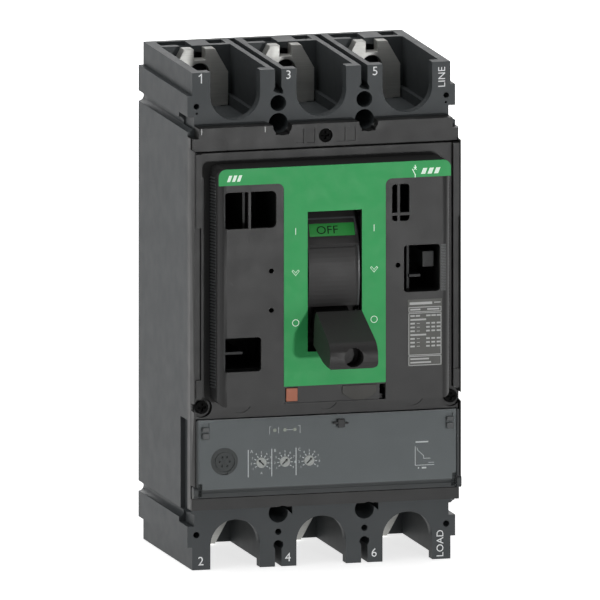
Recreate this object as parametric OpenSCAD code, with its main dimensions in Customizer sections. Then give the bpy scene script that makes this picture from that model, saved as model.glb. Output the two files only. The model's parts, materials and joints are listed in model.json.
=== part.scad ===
// Three pole molded case circuit breaker with a toggle handle and an electronic trip unit.
// The back mounting face is Y = 0, the front faces -Y, the line terminals are at +Z.

/* [Case] */
// Width of the case
case_w = 140; // [139:0.5:141]
// Height of the case over both terminal ends
case_h = 255; // [254:0.5:256]
// Depth of the base, from the mounting face to the cover joint
base_d = 95.5; // [95:0.5:96]
// Distance between the centres of neighbouring poles
pole_pitch = 45; // [44.5:0.1:45.2]
// Wall at the back of the base
back_wall = 5; // [4:0.5:5]

/* [Terminals] */
// Width of the compartment around each terminal
comp_w = 36; // [35:0.5:36]
// Height at which the terminal compartments begin
comp_z = 102.4; // [102:0.1:103]
// Radius of the U-shaped opening in front of each terminal
u_cut_r = 13; // [12:0.5:13]
// Radius of the terminal bolt hole
bolt_hole_r = 5.25; // [4.5:0.25:5.5]
// Thickness of the terminal bars
bar_t = 7.5; // [7:0.5:7.5]

/* [Mounting] */
// Horizontal spacing of the panel screws
mount_x = 45; // [45:0.1:45.2]
// Vertical spacing of the panel screws
mount_z = 200; // [199:0.5:200]
// Radius of the through hole of a panel screw
mount_r = 3.25; // [3:0.05:3.25]

/* [Toggle] */
// Travel of the handle between OFF and ON, in degrees
toggle_travel = 41; // [38:1:41]
// Outer radius of the curtain that closes the handle slot
curtain_r = 59; // [58.8:0.1:59]

/* [Contacts] */
// Radius of each rotor drum
drum_r = 13.5; // [13:0.5:13.5]
// Radius at which the moving contact tips turn
tip_r = 27; // [26.5:0.1:27]
// Rotation of the contact shaft between OFF and ON, in degrees
shaft_travel = 45; // [44:0.5:45]

/* [Hidden] */
$fn = 48;
eps = 0.01;

// Case
side_x = case_w / 2;
end_z = case_h / 2;
front_y = -base_d;
end_half_w = 67.5;
shoulder_z = 115.8;
poles = [-pole_pitch, 0, pole_pitch];
screw_x = mount_x / 2;
screw_z = mount_z / 2;
barrier_w = 3.4;
comp_back_y = -18.5;
comp_front_y = -88.5;
bar_y0 = comp_back_y - bar_t;
plate_z = 97.6;
bolt_z = 114.4;
cavity_x = 66.2;
cavity_z = 93.5;
top_screw_z = 94;
post_z = [80, -44];
post_r = 3;
nut_r = 10;

// Covers
mid_y = -101.5;
rim_y = -108;
panel_y = -121.6;
panel_x = 60.7;
panel_z0 = -40;
panel_z1 = 82;
cover_z0 = -48.4;
cover_z1 = 87.7;
cover_x = 68.8;
slot_x = 14.2;
slot_z0 = -13.4;
slot_z1 = 58.4;
well_x = 65;
well_z = -42.4;
well_r = 5.2;
tray_x0 = 26.4;
tray_x1 = 57.9;
tray_z0 = -34;
tray_z1 = 78;
label_x = 26.6;
label_t = 0.3;
strip_z0 = -39.4;

// Trip unit
trip_z0 = -89.2;
trip_z1 = -48.8;
face_y = -107;
dial_x = [-34.4, -22.1, -9.4];
dial_z = -71.8;
dial_r = 2.65;
socket_x = -53.8;
socket_z = -70.3;
socket_r = 7;
lamp_x = [-27.4, -22.1, -16.9];
lamp_z = -55.5;
hinge_y = -106.1;
hinge_z = -86.2;
button_x = -22.4;
button_z = -35;
rod_z0 = -36.8;
rod_z1 = -31.5;
bar_axis = [-84, -38];
bar_r = 2.5;
solenoid_z = -44;

// Handle
grip_w = 25.4;
neck_low = -7.4;
neck_high = 3.4;

// Contacts and mechanism, as [Y, Z] points
rotor = [-30.5, 12];
tip_off = 23;
tip_on = shaft_travel - tip_off;
cassette_z0 = -46;
cassette_z1 = 70;
cassette_y0 = -56;
rod_r = 2;
crank_r = 10.5;
crank_off = 30;
pivot = [-62, 25];
anchor = [-62, 25] + 41 * [-cos(25), -sin(25)];
link_pivot = [-84, 62];
upper_len = 28;
lower_len = 41;
pin_r = 2.5;
rod_off = rotor + crank_r * [-cos(crank_off), sin(crank_off)];
rod_off_rear = rotor - crank_r * [-cos(crank_off), sin(crank_off)];

// The lower meeting point of two circles, in front of the line from b to a
function meet(a, ra, b, rb) =
    let (v = b - a, d = norm(v), k = (ra * ra - rb * rb + d * d) / (2 * d),
        h = sqrt(ra * ra - k * k), u = v / d)
    a + k * u + h * [-u[1], u[0]] * (u[0] > 0 ? -1 : 1);
knee_off = meet(link_pivot, upper_len, rod_off, lower_len);

// A box between two corners
module block(lo, hi) {
    translate(lo)
        cube(hi - lo);
}

// An outline of [X, Z] points, extruded from y0 at the front to y1
module slab_y(y0, y1) {
    translate([0, y1, 0])
        rotate([90, 0, 0])
            linear_extrude(y1 - y0)
                children();
}

// An outline of [Y, Z] points, extruded from x0 to x1
module slab_x(x0, x1) {
    translate([x0, 0, 0])
        rotate([90, 0, 90])
            linear_extrude(x1 - x0)
                children();
}

// An outline of [X, Y] points, extruded from z0 to z1
module slab_z(z0, z1) {
    translate([0, 0, z0])
        linear_extrude(z1 - z0)
            children();
}

// A round bar along Y, with its centre at x, z
module rod_y(r, y0, y1, x, z) {
    slab_y(y0, y1)
        translate([x, z])
            circle(r);
}

// A round bar along X through the point p of [Y, Z]
module rod_x(r, x0, x1, p) {
    slab_x(x0, x1)
        translate(p)
            circle(r);
}

// A flat rectangle with round corners
module rounded(x0, x1, y0, y1, r) {
    translate([x0 + r, y0])
        square([x1 - x0 - 2 * r, y1 - y0]);
    translate([x0, y0 + r])
        square([x1 - x0, y1 - y0 - 2 * r]);
    for (x = [x0 + r, x1 - r], y = [y0 + r, y1 - r])
        translate([x, y])
            circle(r);
}

// A flat bar between two points, with a round eye at each end
module strap(a, b, r) {
    v = b - a;
    translate(a)
        rotate(atan2(v[1], v[0]))
            translate([0, -0.8 * r])
                square([norm(v), 1.6 * r]);
    for (p = [a, b])
        translate(p)
            circle(r);
}

// A sector of a ring around the toggle pivot, between two angles above the front direction
module curtain_sector(r0, r1, a0, a1) {
    far = 2 * r1;
    mid = (a0 + a1) / 2;
    translate(pivot)
        intersection() {
            difference() {
                circle(r1, $fn = 96);
                circle(r0, $fn = 96);
            }
            polygon([[0, 0], far * [-cos(a0), sin(a0)], far * [-cos(mid), sin(mid)],
                far * [-cos(a1), sin(a1)]]);
        }
}

module both_sides() {
    children();
    mirror([1, 0, 0])
        children();
}

// The children and their mirror image across the middle of the pole at x
module both_sides_of(x) {
    children();
    translate([2 * x, 0, 0])
        mirror([1, 0, 0])
            children();
}

module both_ends() {
    children();
    mirror([0, 0, 1])
        children();
}

// Half a turn about the rotor axis of the pole at x
module half_turn_about_rotor() {
    translate([0, 2 * rotor[0], 2 * rotor[1]])
        rotate([180, 0, 0])
            children();
}

// Base: an open box with three terminal compartments at each end

module compartment_cuts() {
    for (x = poles) {
        block([x - comp_w / 2, comp_front_y, comp_z], [x + comp_w / 2, comp_back_y, end_z + 1]);
        // the middle of the floor is deeper, down to the end of the terminal plate
        block([x - 15.5, comp_front_y, plate_z - 0.2], [x + 15.5, comp_back_y, comp_z + 1]);
        slab_y(front_y - 1, comp_front_y + 1) {
            translate([x, comp_z + u_cut_r])
                circle(u_cut_r, $fn = 64);
            translate([x - u_cut_r, comp_z + u_cut_r])
                square([2 * u_cut_r, 20]);
        }
        // passage of the terminal bar through the end wall
        block([x - 11.1, bar_y0 - 0.1, cavity_z - 1], [x + 11.1, comp_back_y + 0.1, comp_z + 1]);
        // room for the bend of the bar behind the end wall
        block([x - 15.5, -56, cavity_z - 1], [x + 15.5, -back_wall, plate_z - 2.4]);
        // room for the nut behind the bolt hole
        rod_y(nut_r, comp_back_y - 1, -8, x, bolt_z);
        // pockets in the top of the back wall
        for (px = [-17, 8.5])
            block([x + px, -14, end_z - 7], [x + px + 8.5, -4, end_z + 1]);
        block([x - 8.5, comp_back_y - 1, end_z - 2.2], [x - 2, -4, end_z + 1]);
    }
}

module barrier_slots() {
    for (x = [-screw_x, screw_x]) {
        block([x - barrier_w / 2, front_y - 1, 118.2], [x + barrier_w / 2, -3, end_z + 1]);
        slab_y(front_y - 1, front_y + 14)
            translate([x, 0])
                polygon([[-1.7, 118.4], [-2.7, 116.6], [-1.2, 115.5], [2.4, 114.8], [2.7, 116.4],
                    [1.7, 118.4]]);
    }
}

module panel_screw_holes() {
    for (x = [-screw_x, screw_x], z = [-screw_z, screw_z]) {
        rod_y(mount_r, -20, 1, x, z);
        rod_y(5, front_y - 1, -8, x, z);
    }
}

module base_side_steps() {
    both_ends() {
        // the end zones are narrower than the body
        both_sides()
            block([end_half_w, front_y - 1, shoulder_z], [side_x + 1, 1, end_z + 1]);
        // round grooves along the sides, level with the panel screws
        both_sides()
            rod_y(2.6, front_y - 1, 1, side_x, screw_z);
        // front corner notches
        both_sides()
            block([66.5, front_y - 1, 98.8], [side_x + 1, -79, 105]);
    }
}

module base_case() {
    color([0.34, 0.36, 0.37])
        difference() {
            block([-side_x, front_y, -end_z], [side_x, 0, end_z]);
            base_side_steps();
            difference() {
                block([-cavity_x, front_y - 1, -cavity_z], [cavity_x, -back_wall, cavity_z]);
                // posts and a boss for the cover screws
                for (x = [-screw_x, screw_x], z = post_z)
                    rod_y(post_r, front_y, -back_wall, x, z);
                block([-5, front_y, 89], [5, -70, cavity_z]);
            }
            both_ends()
                compartment_cuts();
            both_ends()
                barrier_slots();
            panel_screw_holes();
            // pilot holes of the cover screws
            for (x = [-screw_x, screw_x], z = post_z)
                rod_y(1.8, front_y - 1, front_y + 20, x, z);
            rod_y(1.8, front_y - 1, front_y + 20, 0, top_screw_z);
            for (x = [-screw_x, screw_x]) {
                rod_y(4.15, front_y - 1, front_y + 30, x, 110.1);
                rod_y(1.65, front_y - 1, front_y + 14, x, -109.7);
                rod_y(2.5, front_y - 1, front_y + 22, x, -116.5);
                // keyed mouth beside the lower panel screws
                slab_y(front_y - 1, front_y + 12)
                    translate([x, -screw_z])
                        polygon([[-3, 3.7], [7.3, 3.7], [7.3, -0.9], [4.6, 1.6], [4.4, -1], [-3, -1]]);
            }
            both_sides() {
                rod_y(1.5, front_y - 1, front_y + 10, 65.3, 110.2);
                rod_y(0.6, front_y - 1, front_y + 4, 65.1, 106.6);
                rod_y(1.65, front_y - 1, front_y + 10, 65.3, -109.5);
            }
            // side recesses beside the trip unit
            both_sides()
                block([67.6, front_y - 1, -97.4], [side_x + 1, -82, -50.4]);
        }
}

// Covers

// The opening that the handle curtain and the mechanism need
module mechanism_room(reach) {
    rod_x(60.2, -14.6, 14.6, pivot);
    block([-21.4, mid_y - reach, -13], [21.4, front_y + 1, 67]);
}

module mid_cover() {
    color([0.28, 0.28, 0.28])
        difference() {
            union() {
                block([-side_x, mid_y, -95.5], [side_x, front_y, 95]);
                block([-66.4, mid_y, 94], [66.4, front_y, 100.2]);
                // band above the accessory cover
                block([-69.4, -104, 88.6], [69.4, mid_y, 95]);
                block([-66.4, -104, 94], [66.4, mid_y, 100.2]);
                // band below the trip unit
                block([-side_x, -103.6, -95.5], [side_x, mid_y, -89.6]);
                // side walls around the accessory cover and the trip unit
                both_sides() {
                    block([69.15, rim_y, -47.8], [side_x, mid_y, 89.3]);
                    block([69.15, rim_y, -82.8], [side_x, mid_y, -46.6]);
                }
            }
            // hollow behind
            block([-67, -98.5, -92], [67, front_y + 1, 91]);
            // opening of the trip unit
            block([-66.8, -110, trip_z0], [66.8, front_y + 1, trip_z1 + 0.4]);
            mechanism_room(0.1);
            both_sides()
                block([tray_x0 - 0.4, -110, tray_z0 - 0.5], [tray_x1 + 0.4, front_y + 1, tray_z1 + 0.5]);
            // passage of the push to trip button
            block([button_x - 2.3, -110, rod_z0 - 0.5], [button_x + 2.3, front_y + 1, rod_z1 + 0.5]);
            // screwdriver access to the upper panel screws
            for (x = [-screw_x, screw_x]) {
                block([x - 3.6, -110, 95.4], [x + 3.6, front_y + 1, 101]);
                for (z = [-screw_z, screw_z])
                    rod_y(5, -110, front_y + 1, x, z);
            }
            // wells of the accessory cover screws, open to the sides
            both_sides()
                rod_y(well_r, -110, -102.4, well_x, well_z);
            // screw holes
            rod_y(3.6, -110, -100.5, 0, top_screw_z);
            rod_y(2, -110, front_y + 1, 0, top_screw_z);
            for (x = [-screw_x, screw_x], z = post_z)
                rod_y(2, -110, front_y + 1, x, z);
            both_sides()
                rod_y(1.5, -110, front_y + 1, well_x, well_z);
            // shallow marks beside the top screw
            for (x = [-15.6, -9.8, 6, 11.4])
                block([x, -104.6, 90.6], [x + 4.2, -103.5, 98]);
            // slanted edges of the side walls
            both_sides()
                slab_z(-96, 90)
                    polygon([[side_x + 0.1, front_y], [side_x + 0.1, rim_y - 1], [side_x - 0.35, rim_y - 1]]);
        }
}

// Windows of the accessory slots and of the status indicators, as [X, Z] outlines
module panel_windows() {
    difference() {
        rounded(-57.9, -30.5, 51.1, 70, 2.6);
        translate([-45.1, 50])
            square([1.3, 22]);
    }
    rounded(-58, -38.4, -22.2, -4.7, 1.8);
    difference() {
        rounded(30, 39.1, 51.5, 70.5, 1.8);
        translate([32.8, 50])
            square([1.3, 22]);
        translate([29, 54.4])
            square([11, 1.4]);
    }
    rounded(36.2, 55, 14.8, 38.9, 1.6);
    for (p = [[-33.1, 28.9], [-33.1, 8.7], [33.1, 28.9]])
        translate(p)
            circle(1.3);
}

module accessory_cover() {
    color([0.25, 0.25, 0.25])
        difference() {
            union() {
                block([-cover_x, -105.3, cover_z0], [cover_x, mid_y, cover_z1]);
                // raised rim along both sides
                both_sides()
                    block([65.7, rim_y, -37.6], [cover_x, mid_y - 0.5, cover_z1]);
                // raised panel with soft edges
                intersection() {
                    slab_z(panel_z0, panel_z1)
                        rounded(-panel_x, panel_x, panel_y, -97, 4.4);
                    slab_y(panel_y, mid_y)
                        rounded(-panel_x, panel_x, panel_z0, panel_z1, 4);
                }
            }
            // hollow behind the panel
            block([-58.3, -119.2, -37.4], [58.3, mid_y + 1, 79.6]);
            slab_y(panel_y - 1, -117)
                panel_windows();
            // slot of the handle
            block([-slot_x, panel_y - 1, slot_z0], [slot_x, -118, slot_z1]);
            // recessed strip under the label, with the button opening
            block([-label_x, panel_y - 1, strip_z0], [label_x, -120.9, -30.9]);
            block([button_x - 3.2, panel_y - 1, button_z - 3.6], [button_x + 3.2, -112, button_z + 3.6]);
            block([23.6, panel_y - 1, strip_z0], [label_x, -117, -31.5]);
            // finger recesses at both sides
            both_sides()
                block([66.1, -110, -28], [side_x, -106.4, 50]);
            both_sides() {
                rod_y(well_r, -110, -103, well_x, well_z);
                rod_y(1.7, -110, mid_y + 1, well_x, well_z);
            }
            // pockets over the heads of the cover screws below
            for (x = [-screw_x, screw_x], z = post_z)
                rod_y(3.4, -104, mid_y + 1, x, z);
            // half-round recesses over the trip unit
            for (x = poles)
                slab_y(-106, -104.8)
                    intersection() {
                        translate([x, -40.2])
                            circle(6);
                        translate([x - 7, -48])
                            square([14, 7.6]);
                    }
        }
}

module face_label() {
    color([0.27, 0.61, 0.38])
        slab_y(panel_y - label_t, panel_y)
            difference() {
                union() {
                    intersection() {
                        rounded(-panel_x, panel_x, 60, panel_z1, 4);
                        translate([-panel_x, 73.6])
                            square([2 * panel_x, 10]);
                    }
                    translate([-label_x, -30.7])
                        square([2 * label_x, 106]);
                    // hollow corners between the band and the column
                    for (s = [-1, 1])
                        difference() {
                            translate([s * (label_x + 1.6), 72])
                                square([3.4, 3.4], center = true);
                            translate([s * (label_x + 3.3), 70.3])
                                circle(3.3);
                        }
                }
                translate([-slot_x, slot_z0])
                    square([2 * slot_x, slot_z1 - slot_z0]);
            }
}

// Open box behind the windows that takes the plug-in accessories
module tray_shell() {
    difference() {
        block([tray_x0, -118.9, tray_z0], [tray_x1, -70, tray_z1]);
        block([tray_x0 + 1.5, -120, tray_z0 + 1.5], [tray_x1 - 1.5, -72, tray_z1 - 1.5]);
    }
}

module accessory_tray_left() {
    color([0.1, 0.1, 0.1])
        mirror([1, 0, 0]) {
            tray_shell();
            // slots for two releases and three switches
            for (z = [-24, 2, 20, 46])
                block([tray_x0 + 1, -110, z], [tray_x1 - 1, -71, z + 1.5]);
            block([43.5, -109, 46], [45, -71, tray_z1 - 1]);
            block([46, -114, -14.5], [tray_x1 - 1, -71, -13]);
        }
}

module accessory_tray_right() {
    color([0.1, 0.1, 0.1]) {
        tray_shell();
        for (z = [12, 42])
            block([tray_x0 + 1, -112, z], [tray_x1 - 1, -71, z + 1.5]);
        block([40, -112, 12], [41.5, -71, 43]);
        block([41, -113.5, 21], [47, -71, 22.5]);
        block([48, -113.5, 26], [54, -71, 34]);
    }
}

module rating_label() {
    color([0.46, 0.46, 0.45])
        block([38.2, panel_y - 0.2, -23.3], [56, panel_y, 11]);
}

module rating_tab() {
    color([0.22, 0.22, 0.21])
        slab_y(-121.5, -120.9)
            intersection() {
                translate([13, -27])
                    circle(12.2);
                translate([4, -39.4])
                    square([18, 7.8]);
            }
}

// A screw along Y with a cross recess, head at the front
module cover_screw(x, z, y_head, head_r, head_t, shank_r, shank_l) {
    difference() {
        union() {
            rod_y(head_r, y_head, y_head + head_t, x, z);
            rod_y(shank_r, y_head + head_t - eps, y_head + head_t + shank_l, x, z);
        }
        block([x - 0.5, y_head - 1, z - head_r * 0.6], [x + 0.5, y_head + 1.2, z + head_r * 0.6]);
        block([x - head_r * 0.6, y_head - 1, z - 0.5], [x + head_r * 0.6, y_head + 1.2, z + 0.5]);
    }
}

module mid_cover_screws() {
    color([0.62, 0.62, 0.6]) {
        cover_screw(0, top_screw_z, -102.9, 3.4, 2.4, 1.7, 18);
        for (x = [-screw_x, screw_x], z = post_z)
            cover_screw(x, z, -103.5, 3.1, 2, 1.7, 18);
    }
}

module accessory_cover_screws() {
    color([0.3, 0.3, 0.3])
        for (x = [-well_x, well_x])
            cover_screw(x, well_z, -105.2, 3.4, 2.2, 1.4, 6.4);
}

// Trip unit

module trip_unit_housing() {
    color([0.3, 0.31, 0.31])
        difference() {
            union() {
                block([-64, -96, -87.4], [64, -60, -50.8]);
                block([-66.6, -101.6, trip_z0 + 0.2], [66.6, -95.6, trip_z1]);
                block([-68.7, -105, trip_z0 + 0.2], [68.7, mid_y, trip_z1]);
                // thin side walls around the front
                both_sides()
                    block([67.65, rim_y, -83], [68.7, -104, trip_z1]);
                // hinge knuckles of the clear cover
                both_sides()
                    slab_x(67.65, side_x)
                        rounded(rim_y, -103.7, trip_z0 + 0.2, -83, 1.8);
            }
            block([-62, -94, -85.4], [62, -62, -52.8]);
            block([-61.2, -106, -84], [61.2, -90, -54]);
            rod_x(1.25, -69.2, 69.2, [hinge_y, hinge_z]);
            both_sides()
                rod_x(2.5, 65.3, 67.65, [hinge_y, hinge_z]);
        }
}

module trip_unit_face() {
    color([0.4, 0.41, 0.42])
        difference() {
            block([-67.5, face_y, trip_z0 + 4.6], [67.5, -105, trip_z1]);
            for (x = dial_x)
                rod_y(dial_r + 0.08, -110, -100, x, dial_z);
            for (x = lamp_x)
                rod_y(0.9, -110, -100, x, lamp_z);
            rod_y(socket_r, -110, -100, socket_x, socket_z);
            // finger notches and lug notches of the clear cover
            both_sides() {
                block([61.6, -110, -53.6], [65.6, -106, -50.4]);
                block([65.3, -110, -86], [68, -104, -81.4]);
            }
        }
}

module trip_unit_board() {
    color([0.1, 0.35, 0.2]) {
        block([-58, -93.6, -83], [58, -92, -55.4]);
        block([14, -92.01, -78], [28, -88, -64]);
        block([-34, -92.01, -66], [-22, -88, -60]);
        for (x = [-44, -4, 40])
            block([x, -92.01, -82], [x + 10, -80, -74]);
    }
}

module status_lamps() {
    color([0.75, 0.78, 0.72])
        for (x = lamp_x)
            rod_y(0.9, face_y - 0.15, -94, x, lamp_z);
}

module test_socket() {
    color([0.33, 0.34, 0.34])
        difference() {
            rod_y(socket_r, face_y - 0.2, -104, socket_x, socket_z);
            // ring groove and the keyed mouths of the cap
            difference() {
                rod_y(5.4, -110, face_y + 0.3, socket_x, socket_z);
                rod_y(4.7, -111, face_y + 0.4, socket_x, socket_z);
            }
            for (a = [0:60:300])
                rod_y(0.55, -110, face_y + 1, socket_x + 2.6 * cos(a), socket_z + 2.6 * sin(a));
            block([socket_x - 1.6, -110, socket_z - 6.8], [socket_x + 1.6, face_y + 0.4, socket_z - 5.8]);
        }
}

module trip_unit_cover() {
    color([0.6, 0.65, 0.65, 0.4]) {
        difference() {
            block([-67, -108.75, -84.2], [67, -107.75, trip_z1 - 0.3]);
            // sealing point at the top
            rod_y(0.9, -110, -107, 7.1, -53.1);
        }
        // sealing catch
        block([4.6, -109.2, -53.8], [9.6, -108.7, -52.4]);
        // hinge lugs with their pins
        both_sides() {
            slab_x(65.7, 67.2)
                union() {
                    translate([hinge_y, hinge_z])
                        circle(2.1);
                    polygon([[-108.75, -84.4], [-108.75, -81], [-107.75, -81], [-107.4, -84.2],
                        [hinge_y, hinge_z], [hinge_y - 2.1, hinge_z]]);
                }
            rod_x(1.2, 67.1, 69.1, [hinge_y, hinge_z]);
        }
    }
}

module setting_dial(i) {
    color([0.75, 0.75, 0.73])
        difference() {
            union() {
                rod_y(dial_r, face_y - 0.35, -104, dial_x[i], dial_z);
                rod_y(1.4, -104.1, -94, dial_x[i], dial_z);
            }
            // screwdriver slot with an arrow head
            translate([dial_x[i], 0, dial_z])
                rotate([0, i == 0 ? -45 : 45, 0])
                    slab_y(-110, face_y + 0.6)
                        polygon([[-0.35, -1.9], [0.35, -1.9], [0.35, 1], [0.9, 1], [0, 2.2], [-0.9, 1],
                            [-0.35, 1]]);
        }
}

module setting_dial_1() {
    setting_dial(0);
}

module setting_dial_2() {
    setting_dial(1);
}

module setting_dial_3() {
    setting_dial(2);
}

module trip_button() {
    color([0.6, 0.35, 0.27]) {
        block([button_x - 2.9, panel_y - 0.2, button_z - 3.3], [button_x + 2.9, -116, button_z + 3.3]);
        block([button_x - 1.8, -116.1, rod_z0], [button_x + 1.8, -91.1, rod_z1]);
    }
}

module trip_bar() {
    color([0.15, 0.15, 0.15]) {
        rod_x(bar_r, -25.4, 22, bar_axis);
        // lever in front of the button
        slab_x(-24.6, -20.4)
            polygon([[-86, -38], [-90.6, -33], [-90.6, -30.6], [-87.4, -30.6], [-82, -38]]);
        // latch arm that holds the cradle
        slab_x(-2, 2)
            polygon([[-84, -40.4], [-62, -37.8], [-60, -37], [-60, -26], [-62.4, -26], [-62.4, -34.8],
                [-84, -35.6]]);
        // arm in front of the solenoid
        slab_x(6, 10)
            polygon([[-85.5, -38], [-85.5, -47.5], [-83.2, -47.5], [-82.5, -38]]);
    }
}

module trip_solenoid() {
    color([0.45, 0.32, 0.2])
        difference() {
            union() {
                rod_y(4.6, -72, -58, 8, solenoid_z);
                block([2.8, -73.4, -50.8], [13.2, -72, -39.2]);
                block([2.8, -58, -50.8], [13.2, -56.8, -39.2]);
                block([3.2, -72.5, -50.8], [12.8, -57.5, -48]);
            }
            rod_y(1.6, -80, -60, 8, solenoid_z);
        }
}

module solenoid_plunger() {
    color([0.7, 0.7, 0.7])
        rod_y(1.5, -80.6, -62.4, 8, solenoid_z);
}

// Ring core around each load bar
module current_transformer(x) {
    color([0.16, 0.16, 0.17])
        difference() {
            block([x - 18, -39, -86.4], [x + 18, -6, -64]);
            block([x - 11.6, -27.2, -90], [x + 11.6, -17.3, -60]);
            both_sides_of(x)
                block([x + 14, -40, -90], [x + 19, -36, -60]);
        }
}

module current_transformer_1() {
    current_transformer(poles[0]);
}

module current_transformer_2() {
    current_transformer(poles[1]);
}

module current_transformer_3() {
    current_transformer(poles[2]);
}

// Conductors

// Front outline of a terminal plate at the line end, as [X, Z] points around x
module terminal_outline(x) {
    translate([x, 0])
        difference() {
            polygon([[-15, plate_z], [15, plate_z], [15, 114.8], [8, 127], [-8, 127],
                [-15, 114.8]]);
            translate([-3, 121.4])
                square([6, 6]);
            translate([0, bolt_z])
                circle(bolt_hole_r);
        }
}

module line_terminal(x) {
    color([0.66, 0.66, 0.64]) {
        slab_y(bar_y0, comp_back_y)
            terminal_outline(x);
        slab_x(x - 11, x + 11)
            polygon([[comp_back_y, comp_z + 1], [bar_y0, comp_z + 1], [bar_y0, 94], [-52, 83], [-52, 30],
                [-46.5, 30], [-46.5, 77.5], [comp_back_y, 89.5]]);
    }
}

module load_terminal(x) {
    color([0.66, 0.66, 0.64]) {
        mirror([0, 0, 1])
            slab_y(bar_y0, comp_back_y)
                terminal_outline(x);
        slab_x(x - 11, x + 11)
            polygon([[comp_back_y, -comp_z - 1], [bar_y0, -comp_z - 1], [bar_y0, -58], [-14.5, -50],
                [-14.5, -6], [-9, -6], [-9, -52], [comp_back_y, -58.6]]);
    }
}

module line_terminal_1() {
    line_terminal(poles[0]);
}

module line_terminal_3() {
    line_terminal(poles[1]);
}

module line_terminal_5() {
    line_terminal(poles[2]);
}

module load_terminal_2() {
    load_terminal(poles[0]);
}

module load_terminal_4() {
    load_terminal(poles[1]);
}

module load_terminal_6() {
    load_terminal(poles[2]);
}

// Contact pad on the upper bar: its face lies along the closed moving contact
pad_gap = 4.45;
function on_arm(r) = rotor + r * [-sin(tip_on), cos(tip_on)] + pad_gap * [-cos(tip_on), -sin(tip_on)];

module fixed_contacts() {
    color([0.75, 0.74, 0.7])
        for (x = poles) {
            slab_x(x - 4, x + 4)
                fixed_pad();
            half_turn_about_rotor()
                slab_x(x - 4, x + 4)
                    fixed_pad();
        }
}

module fixed_pad() {
    a = on_arm(22.5);
    b = on_arm(30);
    polygon([[-46.5, a[1] - 2], a, b, [-46.5, b[1] + 0.6]]);
}

// Poles

module pole_cassette(x) {
    color([0.55, 0.2, 0.12])
        difference() {
            block([x - 19, cassette_y0, cassette_z0], [x + 19, -back_wall, cassette_z1]);
            block([x - 17, cassette_y0 + 2, cassette_z0 + 2], [x + 17, -back_wall - 2, cassette_z1 - 2]);
            // bearings of the rotor drum
            rod_x(drum_r + 0.1, x - 20, x + 20, rotor);
            // passages of the two conductors
            block([x - 11.2, -52.1, cassette_z1 - 3], [x + 11.2, -46.4, cassette_z1 + 1]);
            block([x - 11.2, -14.6, cassette_z0 - 1], [x + 11.2, -8.9, cassette_z0 + 3]);
            // gas vents
            for (dx = [-9, -3, 3])
                block([x + dx, -40, cassette_z1 - 3], [x + dx + 4, -14, cassette_z1 + 1]);
        }
}

module pole_cassette_1() {
    pole_cassette(poles[0]);
}

module pole_cassette_2() {
    pole_cassette(poles[1]);
}

module pole_cassette_3() {
    pole_cassette(poles[2]);
}

module arc_chute(x) {
    for (i = [0:7])
        block([x - 14.2, -42 + 4.2 * i, 43.5], [x + 14.2, -40.6 + 4.2 * i, 65]);
    both_sides_of(x)
        block([x + 14, -43, 43], [x + 15.4, -10, 66]);
}

module arc_chutes(x) {
    color([0.6, 0.6, 0.58]) {
        arc_chute(x);
        half_turn_about_rotor()
            arc_chute(x);
    }
}

module arc_chutes_1() {
    arc_chutes(poles[0]);
}

module arc_chutes_2() {
    arc_chutes(poles[1]);
}

module arc_chutes_3() {
    arc_chutes(poles[2]);
}

// Outline of the moving contact arm around the origin, along Z
module arm_outline() {
    square([6, 2 * tip_r - 6], center = true);
    for (s = [-1, 1])
        translate([0, s * (tip_r - 3)])
            circle(3);
}

module moving_contact(x) {
    color([0.72, 0.45, 0.25])
        slab_x(x - 4.5, x + 4.5)
            translate(rotor)
                rotate(-tip_off) {
                    arm_outline();
                    // silver tips, at the front above and at the back below
                    translate([-4.2, 20])
                        square([2, 7]);
                    translate([2.2, -27])
                        square([2, 7]);
                }
}

module rotor_drum(x) {
    color([0.2, 0.2, 0.22])
        difference() {
            rod_x(drum_r, x - 18.9, x + 18.9, rotor);
            slab_x(x - 4.6, x + 4.6)
                translate(rotor)
                    rotate(-tip_off)
                        square([6.2, 40], center = true);
            for (p = [rod_off, rod_off_rear])
                rod_x(rod_r, x - 20, x + 20, p);
        }
}

module rotor_1() {
    rotor_drum(poles[0]);
}

module rotor_2() {
    rotor_drum(poles[1]);
}

module rotor_3() {
    rotor_drum(poles[2]);
}

module moving_contact_1() {
    moving_contact(poles[0]);
}

module moving_contact_2() {
    moving_contact(poles[1]);
}

module moving_contact_3() {
    moving_contact(poles[2]);
}

module shaft_rods() {
    color([0.7, 0.7, 0.7])
        for (p = [rod_off, rod_off_rear])
            rod_x(rod_r, -62.5, 62.5, p);
}

// Mechanism

module mechanism_frame() {
    color([0.6, 0.61, 0.63]) {
        both_sides()
            slab_x(18, 20)
                difference() {
                    polygon([[-56, -12], [-56, 70], [-92, 70], [-98, 60], [-98, 30], [-92, -10],
                        [-90, -41.6], [-78, -41.6], [-74, -12]]);
                    translate(pivot)
                        circle(3.05);
                    translate(link_pivot)
                        circle(pin_r);
                    translate(bar_axis)
                        circle(bar_r + 0.08);
                    // window for the travel of the knee pin
                    translate([-83, 28])
                        square([18, 16]);
                }
        // spacers between the plates
        for (p = [[-59, 66], [-91, 65.5], [-72, -8]])
            rod_x(1.8, -18, 18, p);
    }
}

module cradle() {
    color([0.5, 0.5, 0.5])
        slab_x(-3, 3)
            difference() {
                polygon([[-88, 58], [-86, 66.4], [-78, 64], [-66, 60], [-57.4, 48], [-57.4, -22], [-62, -25.4],
                    [-63, -22], [-63, 42], [-70, 53], [-80, 56]]);
                translate(link_pivot)
                    circle(pin_r);
            }
}

module cradle_pin() {
    color([0.7, 0.7, 0.7])
        rod_x(pin_r, -20.4, 20.4, link_pivot);
}

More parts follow.
